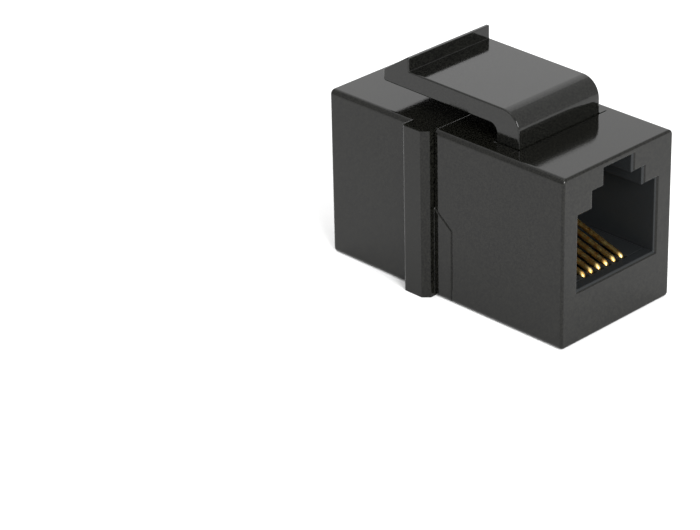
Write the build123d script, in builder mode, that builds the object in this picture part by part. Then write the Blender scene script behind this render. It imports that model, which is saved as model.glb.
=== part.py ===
from build123d import *
import os
from math import radians, tan

os.makedirs("parts", exist_ok=True)

# Keystone coupler with two six-position modular sockets, back to back.
# X runs across, the front face looks to -Y, the rear face to +Y, and the latch is on top.
# The origin is the middle of the flat underside.

# Housing
body_width = 14.5
body_length = 28.4
body_height = 16.5
wall = 1.2
top_edge_radius = 0.5
bottom_edge_radius = 0.4
face_edge_radius = 0.25

# Panel rib, one upright bar on each side
rib_reach = 1.1
rib_width = 2.9
rib_rear_y = -1.1
rib_front_radius = 0.35
rib_rear_chamfer = 0.6

# Parting line between the two housings, which steps down behind the ribs
seam_low_y = 1.0
seam_low_top = 7.2
seam_high_bottom = 8.9
seam_edge = 0.1

# Socket opening, measured from the side of the housing that its contacts lie on
port_floor = 5.15
port_width = 10.3
port_height = 7.2
shoulder_width = 6.6
shoulder_height = 1.7
notch_width = 3.7
notch_height = 1.7
notch_end_wall = 1.4
mouth_bevel = 0.25

# Contact block, an angle with a comb of slots under the socket floor
block_wall = 1.6
block_clearance = 0.05
mouth_lip = 1.2
slot_clearance = 0.08

# Contact springs
contact_count = 6
contact_pitch = 1.02
wire_diameter = 0.5
wire_bend = 0.55
wire_tip_inset = 1.95
wire_rise_angle = 17.6
wire_end_gap = 1.5
wire_sides = 8
run_height_low = 1.85
run_height_high = 3.15

# Circuit board between the two contact blocks
board_thickness = 1.0
board_clearance = 0.15
pin_room = 1.3
pin_hole_clearance = 0.06
pin_reach = 0.75
solder_height = 0.42
solder_radius = 0.46
solder_top_radius = 0.3

# Latch, a sprung arm on a leg that stands in a pocket in the top
latch_width = 10.6
latch_leg_rear_y = 7.3
latch_leg_thickness = 2.7
latch_gap = 1.6
latch_arm_thickness = 1.75
latch_arm_rise = 0.15
latch_outer_radius = 1.9
latch_inner_radius = 0.75
latch_catch_y = -6.0
latch_catch_height = 1.27
latch_ridge_width = 0.3
latch_nose_y = -9.2
latch_nose_height = 1.1
latch_nose_radius = 0.3
latch_edge_radius = 0.14
latch_foot_depth = 0.85
latch_side_clearance = 0.12
latch_foot_clearance = 0.2
latch_slit_reach = 0.85
latch_slit_width = 0.14
latch_slit_depth = 0.35

# Places worked out from the sizes above
half_length = body_length / 2
chamber_y = board_thickness / 2 + pin_room + block_wall
port_depth = half_length - chamber_y
chamber_width = body_width - 2 * wall
chamber_height = body_height - 2 * wall
port_top = port_floor + port_height
shoulder_top = port_top + shoulder_height
latch_leg_front_y = latch_leg_rear_y - latch_leg_thickness
latch_pocket_rear_y = latch_leg_rear_y + latch_side_clearance
notch_depth = half_length - latch_pocket_rear_y - notch_end_wall
slot_width = wire_diameter + 2 * slot_clearance
wire_tip_y = half_length - wire_tip_inset
wire_end_y = chamber_y + wire_end_gap
turn = Axis((0, 0, body_height / 2), (0, 1, 0))


# Parting line as points in the YZ plane, from the underside to the top
def seam_points():
    return [
        (seam_low_y, 0),
        (seam_low_y, seam_low_top),
        (rib_rear_y, seam_high_bottom),
        (rib_rear_y, body_height),
    ]


# True for an edge on the outer skin, not for the parting line's inner corners
def is_on_skin(edge):
    middle = edge.center()
    on_side = abs(middle.X) > body_width / 2 - top_edge_radius
    on_flat = middle.Z < bottom_edge_radius or middle.Z > body_height - top_edge_radius
    return on_side or on_flat


# Half of the outer block, from one end face to the parting line, with its long edges rounded
def housing_shell(end_y):
    with BuildPart() as shell:
        with BuildSketch(Plane.YZ):
            with BuildLine():
                Polyline((end_y, body_height), (end_y, 0), *seam_points(), close=True)
            make_face()
        extrude(amount=body_width / 2, both=True)
        long_edges = shell.edges().filter_by(Axis.Y)
        fillet(long_edges.group_by(Axis.Z)[-1], radius=top_edge_radius)
        long_edges = shell.edges().filter_by(Axis.Y)
        fillet(long_edges.group_by(Axis.Z)[0], radius=bottom_edge_radius)
        end_face = shell.faces().sort_by(Axis.Y)[0 if end_y < 0 else -1]
        fillet(end_face.edges(), radius=face_edge_radius)
        seam_edges = shell.edges().filter_by_position(Axis.Y, rib_rear_y, seam_low_y)
        chamfer(seam_edges.filter_by(is_on_skin), length=seam_edge)
    return shell.part


# Stepped outline of the socket opening, seen along Y, with its contacts at the bottom
def port_outline():
    Polyline(
        (-port_width / 2, port_floor),
        (port_width / 2, port_floor),
        (port_width / 2, port_top),
        (shoulder_width / 2, port_top),
        (shoulder_width / 2, shoulder_top),
        (-shoulder_width / 2, shoulder_top),
        (-shoulder_width / 2, port_top),
        (-port_width / 2, port_top),
        close=True,
    )


# Everything that is hollow behind the rear mouth, as one solid to cut away
def port_hollow():
    with BuildPart() as hollow:
        with BuildSketch(Plane.XZ.offset(-half_length)):
            with BuildLine():
                port_outline()
            make_face()
        extrude(amount=port_depth)
        with BuildSketch(Plane.XZ.offset(-half_length)):
            with Locations((0, shoulder_top)):
                Rectangle(notch_width, 2 * notch_height)
        extrude(amount=notch_depth)
        with BuildSketch(Plane.XZ.offset(mouth_lip - half_length)):
            with Locations((0, (wall + port_floor) / 2)):
                Rectangle(port_width, port_floor - wall)
        extrude(amount=port_depth - mouth_lip)
    return hollow.part


# Bevel round the mouth: the opening's outline widened at the face and tapered inwards
def mouth_flare():
    with BuildPart() as flare:
        with BuildSketch(Plane.XZ.offset(-half_length)):
            with BuildLine():
                port_outline()
            make_face()
            with Locations((0, shoulder_top)):
                Rectangle(notch_width, 2 * notch_height)
            offset(amount=mouth_bevel, kind=Kind.INTERSECTION)
        extrude(amount=mouth_bevel, taper=45)
    return flare.part


# Room in the middle for the board and the upright walls of the contact blocks
def chamber():
    with BuildPart() as room:
        with BuildSketch(Plane.XY.offset(wall)):
            Rectangle(chamber_width, 2 * chamber_y)
        extrude(amount=chamber_height)
    return room.part


# Rib with a rounded front corner and a wide bevel at the back, on the right-hand side
def rib():
    root_x = body_width / 2 - top_edge_radius
    tip_x = body_width / 2 + rib_reach
    with BuildPart() as bar:
        with BuildSketch():
            with BuildLine():
                Polyline(
                    (root_x, rib_rear_y),
                    (root_x, rib_rear_y - rib_width),
                    (tip_x, rib_rear_y - rib_width),
                    (tip_x, rib_rear_y),
                    close=True,
                )
            make_face()
        extrude(amount=body_height)
        outer_edges = bar.edges().filter_by(Axis.Z).group_by(Axis.X)[-1].sort_by(Axis.Y)
        fillet(outer_edges[0], radius=rib_front_radius)
        outer_edges = bar.edges().filter_by(Axis.Z).group_by(Axis.X)[-1].sort_by(Axis.Y)
        chamfer(outer_edges[-1], length=rib_rear_chamfer)
    return bar.part


# Pocket for the latch's foot, with the fine slit along its rear edge
def latch_pocket():
    pocket_length = latch_leg_thickness + 2 * latch_side_clearance
    leg_middle_y = latch_leg_rear_y - latch_leg_thickness / 2
    with BuildPart() as pocket:
        with BuildSketch(Plane.XY.offset(body_height)):
            with Locations((0, leg_middle_y)):
                Rectangle(latch_width + 2 * latch_side_clearance, pocket_length)
        extrude(amount=-(latch_foot_depth + latch_foot_clearance))
        with BuildSketch(Plane.XY.offset(body_height)):
            with Locations((0, latch_pocket_rear_y - latch_slit_width / 2)):
                Rectangle(latch_width + 2 * latch_slit_reach, latch_slit_width)
        extrude(amount=-latch_slit_depth)
    return pocket.part


# Front housing, with the ribs; its socket is the rear one turned upside down
front_hollow = port_hollow().mirror(Plane.XZ).rotate(turn, 180)
front_flare = mouth_flare().mirror(Plane.XZ).rotate(turn, 180)
right_rib = rib()
with BuildPart() as front_housing:
    add(housing_shell(-half_length))
    add(right_rib)
    add(right_rib.mirror(Plane.YZ))
    add(front_hollow, mode=Mode.SUBTRACT)
    add(front_flare, mode=Mode.SUBTRACT)
    add(chamber(), mode=Mode.SUBTRACT)
front_housing.part.label = "front_housing"
export_step(front_housing.part, "parts/front_housing.step")

# Rear housing, which carries the latch
with BuildPart() as rear_housing:
    add(housing_shell(half_length))
    add(port_hollow(), mode=Mode.SUBTRACT)
    add(mouth_flare(), mode=Mode.SUBTRACT)
    add(chamber(), mode=Mode.SUBTRACT)
    add(latch_pocket(), mode=Mode.SUBTRACT)
rear_housing.part.label = "rear_housing"
export_step(rear_housing.part, "parts/rear_housing.step")

# Latch: foot, leg, arm, catch wall, ramp and nose in one side profile
arm_under = body_height + latch_gap
arm_top = arm_under + latch_arm_thickness
nose_under = arm_under + latch_arm_rise
catch_base = arm_top + latch_arm_rise
ridge_top = catch_base + latch_catch_height
foot_bottom = body_height - latch_foot_depth
with BuildPart() as latch_clip:
    with BuildSketch(Plane.YZ):
        with BuildLine():
            Polyline(
                (latch_leg_rear_y, foot_bottom),
                (latch_leg_rear_y, arm_top),
                (latch_catch_y, catch_base),
                (latch_catch_y, ridge_top),
                (latch_catch_y - latch_ridge_width, ridge_top),
                (latch_nose_y, nose_under + latch_nose_height),
                (latch_nose_y, nose_under),
                (latch_leg_front_y, arm_under),
                (latch_leg_front_y, foot_bottom),
                close=True,
            )
        make_face()
    extrude(amount=latch_width / 2, both=True)
    cross_edges = latch_clip.edges().filter_by(Axis.X)
    outer_corner = cross_edges.sort_by_distance((0, latch_leg_rear_y, arm_top))[0]
    inner_corner = cross_edges.sort_by_distance((0, latch_leg_front_y, arm_under))[0]
    nose_corner = cross_edges.sort_by_distance((0, latch_nose_y, nose_under))[0]
    fillet(outer_corner, radius=latch_outer_radius)
    fillet(inner_corner, radius=latch_inner_radius)
    fillet(nose_corner, radius=latch_nose_radius)
    side_edges = latch_clip.faces().filter_by(Axis.X).edges()
    upper_edges = side_edges.filter_by(lambda edge: edge.center().Z > body_height + latch_slit_depth)
    fillet(upper_edges, radius=latch_edge_radius)
latch_clip.part.label = "latch_clip"
export_step(latch_clip.part, "parts/latch_clip.step")


# Places of the springs across the socket, with the height of each one's run along the block
def contact_places():
    for index in range(contact_count):
        x = (index - (contact_count - 1) / 2) * contact_pitch
        yield index + 1, x, run_height_low if index % 2 == 0 else run_height_high


# Rear contact block: base under the socket, upright wall behind it, a slot for each spring
base_length = half_length - mouth_lip - block_clearance - chamber_y
base_width = port_width - 2 * block_clearance
upright_width = chamber_width - 2 * block_clearance
upright_height = chamber_height - block_clearance
slot_front_y = wire_tip_y + 1.5 * wire_diameter
with BuildPart() as rear_block:
    with BuildSketch(Plane.XY.offset(wall)):
        with Locations((0, chamber_y + base_length / 2)):
            Rectangle(base_width, base_length)
    extrude(amount=port_floor - wall)
    with BuildSketch(Plane.XY.offset(wall)):
        with Locations((0, chamber_y - block_wall / 2)):
            Rectangle(upright_width, block_wall)
    extrude(amount=upright_height)
    for number, x, run_height in contact_places():
        slot_floor = run_height - wire_diameter / 2
        with BuildSketch(Plane.XY.offset(port_floor)):
            with Locations((x, (chamber_y + slot_front_y) / 2)):
                Rectangle(slot_width, slot_front_y - chamber_y)
        extrude(amount=slot_floor - port_floor, mode=Mode.SUBTRACT)
        with BuildSketch(Plane.XY.offset(slot_floor)):
            with Locations((x, chamber_y - block_wall / 2)):
                Rectangle(slot_width, 2 * block_wall)
        extrude(amount=slot_width, mode=Mode.SUBTRACT)
rear_block.part.label = "rear_contact_block"
export_step(rear_block.part, "parts/rear_contact_block.step")

# The front block is the same moulding turned to the other socket
front_block = rear_block.part.mirror(Plane.XZ).rotate(turn, 180)
front_block.label = "front_contact_block"
export_step(front_block, "parts/front_contact_block.step")


# Many-sided round, with a flat side down
def wire_section(radius):
    RegularPolygon(radius, wire_sides, major_radius=False, rotation=180 / wire_sides)


# One spring: pin through the board, run along the slot, hairpin at the mouth, sprung length
def contact_wire(x, run_height):
    rise = (wire_tip_y - wire_end_y) * tan(radians(wire_rise_angle))
    pin_end_y = -board_thickness / 2 - pin_reach
    with BuildPart() as wire:
        with BuildLine(Plane.YZ.offset(x)) as path:
            FilletPolyline(
                (pin_end_y, run_height),
                (wire_tip_y + wire_diameter / 2, run_height),
                (wire_tip_y + wire_diameter / 2, port_floor),
                (wire_end_y, port_floor + rise),
                radius=wire_bend,
            )
        with BuildSketch(Plane((x, pin_end_y, run_height), z_dir=(0, 1, 0))):
            wire_section(wire_diameter / 2)
        sweep(path=path.line)
    return wire.part


# Solder fillet round each pin where it comes through the board
def solder_cones():
    with BuildPart() as cones:
        for number, x, run_height in contact_places():
            with BuildSketch(Plane((x, -board_thickness / 2, run_height), z_dir=(0, -1, 0))):
                wire_section(solder_radius)
            with BuildSketch(
                Plane((x, -board_thickness / 2 - solder_height, run_height), z_dir=(0, -1, 0))
            ):
                wire_section(solder_top_radius)
            loft()
            with BuildSketch(Plane((x, -board_thickness / 2, run_height), z_dir=(0, -1, 0))):
                wire_section(wire_diameter / 2)
            extrude(amount=solder_height, mode=Mode.SUBTRACT)
    return cones.part


# Six springs for each socket and their solder joints
for number, x, run_height in contact_places():
    rear_wire = contact_wire(x, run_height)
    rear_wire.label = f"rear_contact_{number}"
    export_step(rear_wire, f"parts/rear_contact_{number}.step")
    front_wire = rear_wire.mirror(Plane.XZ).rotate(turn, 180)
    front_wire.label = f"front_contact_{number}"
    export_step(front_wire, f"parts/front_contact_{number}.step")

rear_solder = solder_cones()
rear_solder.label = "rear_solder_joints"
export_step(rear_solder, "parts/rear_solder_joints.step")
front_solder = rear_solder.mirror(Plane.XZ).rotate(turn, 180)
front_solder.label = "front_solder_joints"
export_step(front_solder, "parts/front_solder_joints.step")

# Circuit board, upright across the middle, drilled for both rows of pins
board_width = chamber_width - 2 * board_clearance
board_height = chamber_height - board_clearance
with BuildPart() as circuit_board:
    with BuildSketch(Plane.XY.offset(wall)):
        Rectangle(board_width, board_thickness)
    extrude(amount=board_height)
    for number, x, run_height in contact_places():
        for hole_x, hole_z in ((x, run_height), (-x, body_height - run_height)):
            with BuildSketch(Plane((hole_x, board_thickness / 2, hole_z), z_dir=(0, 1, 0))):
                Circle(wire_diameter / 2 + pin_hole_clearance)
            extrude(amount=-board_thickness, mode=Mode.SUBTRACT)
circuit_board.part.label = "circuit_board"
export_step(circuit_board.part, "parts/circuit_board.step")
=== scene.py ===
from math import cos, radians, sin

import bpy
from mathutils import Matrix, Vector


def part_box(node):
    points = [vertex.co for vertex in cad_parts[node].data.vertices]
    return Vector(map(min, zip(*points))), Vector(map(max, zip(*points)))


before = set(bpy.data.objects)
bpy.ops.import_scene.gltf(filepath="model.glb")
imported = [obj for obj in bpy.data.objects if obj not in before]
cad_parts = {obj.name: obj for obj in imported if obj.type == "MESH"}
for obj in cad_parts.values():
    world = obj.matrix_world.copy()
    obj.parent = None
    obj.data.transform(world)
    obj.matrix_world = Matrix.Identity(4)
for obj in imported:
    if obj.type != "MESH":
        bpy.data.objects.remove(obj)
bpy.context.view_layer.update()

MM = 0.001

# Camera: measured angles, distance and focal length of the photograph
PICTURE_WIDTH = 700
FOCAL_PIXELS = 2950.0
CAMERA_AZIMUTH = 135.9
CAMERA_ELEVATION = 27.2
CAMERA_ROLL = 1.31
CAMERA_PLACE = Vector((177.36, 163.48, 124.89)) * MM
SENSOR_WIDTH = 36.0

# Light and floor
SKY_STRENGTH = 1.0
FLOOR_SIZE = 3.0
FLOOR_TONE = 0.93
FLOOR_FIBRE_SHADE = 0.015
SOFTBOX_DISTANCE = 0.45

# Inside of the sockets and the chamber, as half sizes about the middle of the body
BODY_MIDDLE_HEIGHT = (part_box("front_housing")[0].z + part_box("front_housing")[1].z) / 2
INSIDE_HALF = (5.25 * MM, 14.1 * MM, 7.9 * MM)
# Paler tone painted inside the sockets and the chamber: painted light standing in for the light that
# reaches these recesses
INSIDE_PAINTED_LIGHT_TONE = (0.013, 0.0145, 0.0155, 1)
INSIDE_ROUGHNESS = 0.4

# Surface sizes
MICRO_EDGE = 0.1 * MM
WIRE_EDGE = 0.16 * MM
BEVEL_SAMPLES = 6
GRAIN_SIZE = 0.13 * MM
MOTTLE_SIZE = 0.9 * MM
MOULD_WAVE_SIZE = 6.0 * MM
WEAVE_SIZE = 1.2 * MM

# Speckle of the plastic: its size, and its darkest and palest share of the tone
SPECKLE_SIZE = 0.17 * MM
SPECKLE_DARK = 0.35
SPECKLE_PALE = 1.9


def camera_rotation(azimuth, elevation, roll):
    """World rotation of a camera that looks down at the object from that side."""
    a, e = radians(azimuth), radians(elevation)
    back = Vector((sin(a) * cos(e), -cos(a) * cos(e), sin(e)))
    right = Vector((0, 0, 1)).cross(back).normalized()
    up = back.cross(right)
    axes = Matrix((right, up, back)).transposed()
    return axes @ Matrix.Rotation(-radians(roll), 3, "Z")


def make_camera():
    """The photograph's camera."""
    camera = bpy.data.objects.new("camera", bpy.data.cameras.new("camera"))
    bpy.context.scene.collection.objects.link(camera)
    camera.data.sensor_width = SENSOR_WIDTH
    camera.data.lens = SENSOR_WIDTH * FOCAL_PIXELS / PICTURE_WIDTH
    camera.data.clip_start = 0.01
    camera.data.clip_end = 10
    rotation = camera_rotation(CAMERA_AZIMUTH, CAMERA_ELEVATION, CAMERA_ROLL)
    camera.matrix_world = Matrix.Translation(CAMERA_PLACE) @ rotation.to_4x4()
    bpy.context.scene.camera = camera


class Nodes:
    """A material's node tree, with short ways to add and join nodes."""

    def __init__(self, name):
        self.material = bpy.data.materials.new(name)
        self.material.use_nodes = True
        self.tree = self.material.node_tree
        self.shader = self.tree.nodes["Principled BSDF"]
        self.place = self.add("ShaderNodeTexCoord").outputs["Object"]

    def add(self, kind, **settings):
        node = self.tree.nodes.new(kind)
        for name, value in settings.items():
            setattr(node, name, value)
        return node

    def join(self, output, target):
        self.tree.links.new(output, target)

    def noise(self, size, detail=3.0, roughness=0.5, stretch=(1, 1, 1)):
        mapping = self.add("ShaderNodeMapping")
        mapping.inputs["Scale"].default_value = stretch
        self.join(self.place, mapping.inputs["Vector"])
        noise = self.add("ShaderNodeTexNoise")
        noise.inputs["Scale"].default_value = 1 / size
        noise.inputs["Detail"].default_value = detail
        noise.inputs["Roughness"].default_value = roughness
        self.join(mapping.outputs["Vector"], noise.inputs["Vector"])
        return noise.outputs["Fac"]

    def ramp(self, value, low, high, start=0.3, end=0.7):
        """Value turned into a colour between low and high."""
        ramp = self.add("ShaderNodeValToRGB")
        first, last = ramp.color_ramp.elements
        first.position, last.position = start, end
        first.color, last.color = (*low, 1), (*high, 1)
        self.join(value, ramp.inputs["Fac"])
        return ramp.outputs["Color"]

    def spread(self, value, low, high):
        """Value turned into a number between low and high."""
        spread = self.add("ShaderNodeMapRange")
        spread.inputs["To Min"].default_value = low
        spread.inputs["To Max"].default_value = high
        self.join(value, spread.inputs["Value"])
        return spread.outputs["Result"]

    def inside(self):
        """One inside the sockets, nought on the outer skin."""
        centred = self.add("ShaderNodeVectorMath", operation="SUBTRACT")
        centred.inputs[1].default_value = (0, 0, BODY_MIDDLE_HEIGHT)
        self.join(self.place, centred.inputs[0])
        size = self.add("ShaderNodeVectorMath", operation="ABSOLUTE")
        self.join(centred.outputs["Vector"], size.inputs[0])
        parts = self.add("ShaderNodeSeparateXYZ")
        self.join(size.outputs["Vector"], parts.inputs["Vector"])
        within = None
        for axis, half in zip("XYZ", INSIDE_HALF):
            below = self.add("ShaderNodeMath", operation="LESS_THAN")
            below.inputs[1].default_value = half
            self.join(parts.outputs[axis], below.inputs[0])
            if within is None:
                within = below.outputs["Value"]
                continue
            both = self.add("ShaderNodeMath", operation="MULTIPLY")
            self.join(within, both.inputs[0])
            self.join(below.outputs["Value"], both.inputs[1])
            within = both.outputs["Value"]
        return within

    def choose(self, factor, outer, inner, kind):
        """Outer where factor is nought, inner where it is one; kind is RGBA or FLOAT."""
        mix = self.add("ShaderNodeMix", data_type=kind)
        self.join(factor, mix.inputs["Factor"])
        first, second = [socket for socket in mix.inputs if socket.enabled and socket.name in ("A", "B")]
        self.join(outer, first)
        second.default_value = inner
        return [socket for socket in mix.outputs if socket.enabled][0]

    def bumps(self, layers, edge=MICRO_EDGE):
        """Stacks bump layers of (value, depth, strength) over finely rounded edges."""
        bevel = self.add("ShaderNodeBevel", samples=BEVEL_SAMPLES)
        bevel.inputs["Radius"].default_value = edge
        normal = bevel.outputs["Normal"]
        for value, depth, strength in layers:
            bump = self.add("ShaderNodeBump")
            bump.inputs["Distance"].default_value = depth
            bump.inputs["Strength"].default_value = strength
            self.join(value, bump.inputs["Height"])
            self.join(normal, bump.inputs["Normal"])
            normal = bump.outputs["Normal"]
        self.join(normal, self.shader.inputs["Normal"])


def moulded_plastic(name, tone, roughness, grain, specular):
    """Black plastic from a polished mould: slight waves, fine grain and speckle, duller inside, where a
    paler tone is painted as light in the sockets.
    """
    nodes = Nodes(name)
    inside = nodes.inside()

    speckle = nodes.noise(SPECKLE_SIZE, detail=2)
    dark = tuple(SPECKLE_DARK * channel for channel in tone)
    pale = tuple(SPECKLE_PALE * channel for channel in tone)
    skin = nodes.ramp(speckle, dark, pale, start=0.38, end=0.62)
    # Inside the sockets the skin colour gives way to the paler tone painted as light in the recesses
    nodes.join(nodes.choose(inside, skin, INSIDE_PAINTED_LIGHT_TONE, "RGBA"), nodes.shader.inputs["Base Color"])

    mottle = nodes.noise(MOTTLE_SIZE, detail=4, roughness=0.6)
    polish = nodes.spread(mottle, 0.75 * roughness, 1.3 * roughness)
    nodes.join(nodes.choose(inside, polish, INSIDE_ROUGHNESS, "FLOAT"), nodes.shader.inputs["Roughness"])

    nodes.shader.inputs["IOR"].default_value = 1.5
    nodes.shader.inputs["Specular IOR Level"].default_value = specular

    wave = nodes.noise(MOULD_WAVE_SIZE, detail=2)
    fine = nodes.noise(GRAIN_SIZE, detail=2)
    nodes.bumps([(wave, 0.03 * MM, 0.25), (fine, 0.004 * MM, grain)])
    return nodes.material


def gold_wire(name):
    """Gold-plated drawn wire, with fine lengthwise lines and a slightly uneven plating."""
    nodes = Nodes(name)
    plating = nodes.noise(0.5 * MM, detail=3)
    lines = nodes.noise(0.06 * MM, detail=2, stretch=(1, 0.04, 1))
    gold = nodes.ramp(plating, (0.74, 0.35, 0.07), (1.0, 0.80, 0.32))
    nodes.join(gold, nodes.shader.inputs["Base Color"])
    nodes.shader.inputs["Metallic"].default_value = 1.0
    nodes.join(nodes.spread(lines, 0.2, 0.42), nodes.shader.inputs["Roughness"])
    nodes.bumps([(lines, 0.006 * MM, 0.3)], edge=WIRE_EDGE)
    return nodes.material


def board_laminate(name):
    """Green solder mask over glass weave."""
    nodes = Nodes(name)
    weave = nodes.add("ShaderNodeTexWave", bands_direction="DIAGONAL")
    weave.inputs["Scale"].default_value = 1 / WEAVE_SIZE
    weave.inputs["Distortion"].default_value = 2.0
    nodes.join(nodes.place, weave.inputs["Vector"])
    mask = nodes.ramp(weave.outputs["Fac"], (0.008, 0.05, 0.018), (0.014, 0.085, 0.03))
    nodes.join(mask, nodes.shader.inputs["Base Color"])
    speck = nodes.noise(0.3 * MM)
    nodes.join(nodes.spread(speck, 0.25, 0.45), nodes.shader.inputs["Roughness"])
    nodes.bumps([(weave.outputs["Fac"], 0.01 * MM, 0.3)])
    return nodes.material


def solder_metal(name):
    """Bright tin solder with a slightly frosted skin."""
    nodes = Nodes(name)
    frost = nodes.noise(0.15 * MM, detail=4)
    tin = nodes.ramp(frost, (0.55, 0.56, 0.58), (0.78, 0.79, 0.80))
    nodes.join(tin, nodes.shader.inputs["Base Color"])
    nodes.shader.inputs["Metallic"].default_value = 1.0
    nodes.join(nodes.spread(frost, 0.2, 0.5), nodes.shader.inputs["Roughness"])
    nodes.bumps([(frost, 0.01 * MM, 0.4)])
    return nodes.material


def dress(material, names):
    """Gives CAD nodes their material."""
    for name in names:
        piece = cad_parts[name]
        piece.data.materials.clear()
        piece.data.materials.append(material)


def dress_coupler():
    """Gives every piece of the coupler its material."""
    wires = [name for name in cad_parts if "_contact_" in name and not name.endswith("block")]
    solder = [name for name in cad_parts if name.endswith("solder_joints")]
    housing = moulded_plastic("housing_plastic", (0.0037, 0.0037, 0.0029), 0.08, 0.7, specular=0.255)
    latch = moulded_plastic("latch_plastic", (0.0037, 0.0038, 0.0031), 0.085, 0.7, specular=0.345)
    # The contact blocks' plastic tone is painted paler than the housing's: painted light brightening the
    # shaded port
    block = moulded_plastic("block_plastic", (0.010, 0.0108, 0.011), 0.4, 0.6, specular=0.35)
    dress(housing, ["front_housing", "rear_housing"])
    dress(latch, ["latch_clip"])
    dress(block, ["front_contact_block", "rear_contact_block"])
    dress(gold_wire("contact_gold"), wires)
    dress(board_laminate("board"), ["circuit_board"])
    dress(solder_metal("solder"), solder)


def make_floor():
    """Wide white paper under the object."""
    half = FLOOR_SIZE / 2
    corners = [(-half, -half, 0), (half, -half, 0), (half, half, 0), (-half, half, 0)]
    mesh = bpy.data.meshes.new("floor")
    mesh.from_pydata(corners, [], [(0, 1, 2, 3)])
    floor = bpy.data.objects.new("floor", mesh)
    bpy.context.scene.collection.objects.link(floor)
    nodes = Nodes("floor_paper")
    fibre = nodes.noise(2.0 * MM, detail=5)
    pale = (FLOOR_TONE,) * 3
    soft = (FLOOR_TONE - FLOOR_FIBRE_SHADE,) * 3
    nodes.join(nodes.ramp(fibre, soft, pale), nodes.shader.inputs["Base Color"])
    nodes.shader.inputs["Roughness"].default_value = 0.9
    nodes.shader.inputs["Specular IOR Level"].default_value = 0.1
    mesh.materials.append(nodes.material)


def add_softbox(name, azimuth, elevation, size, power):
    """Square soft light that looks at the object from azimuth and elevation."""
    a, e = radians(azimuth), radians(elevation)
    away = Vector((sin(a) * cos(e), -cos(a) * cos(e), sin(e)))
    light = bpy.data.lights.new(name, "AREA")
    light.shape = "SQUARE"
    light.size = size
    light.energy = power
    softbox = bpy.data.objects.new(name, light)
    bpy.context.scene.collection.objects.link(softbox)
    softbox.location = away * SOFTBOX_DISTANCE
    softbox.rotation_mode = "QUATERNION"
    softbox.rotation_quaternion = away.to_track_quat("Z", "Y")


def make_light():
    """Even white surroundings with three soft lights."""
    world = bpy.data.worlds.new("studio")
    world.use_nodes = True
    background = world.node_tree.nodes["Background"]
    background.inputs["Color"].default_value = (1, 1, 1, 1)
    background.inputs["Strength"].default_value = SKY_STRENGTH
    bpy.context.scene.world = world
    add_softbox("overhead_box", azimuth=40, elevation=80, size=0.35, power=0.5)
    add_softbox("camera_box", azimuth=160, elevation=26, size=0.22, power=2.6)
    add_softbox("back_box", azimuth=-44, elevation=30, size=0.4, power=0.26)


def set_view():
    """Standard view transform with nothing added."""
    settings = bpy.context.scene.view_settings
    settings.view_transform = "Standard"
    settings.look = "None"
    settings.exposure = 0.0
    settings.gamma = 1.0


make_camera()
dress_coupler()
make_floor()
make_light()
set_view()
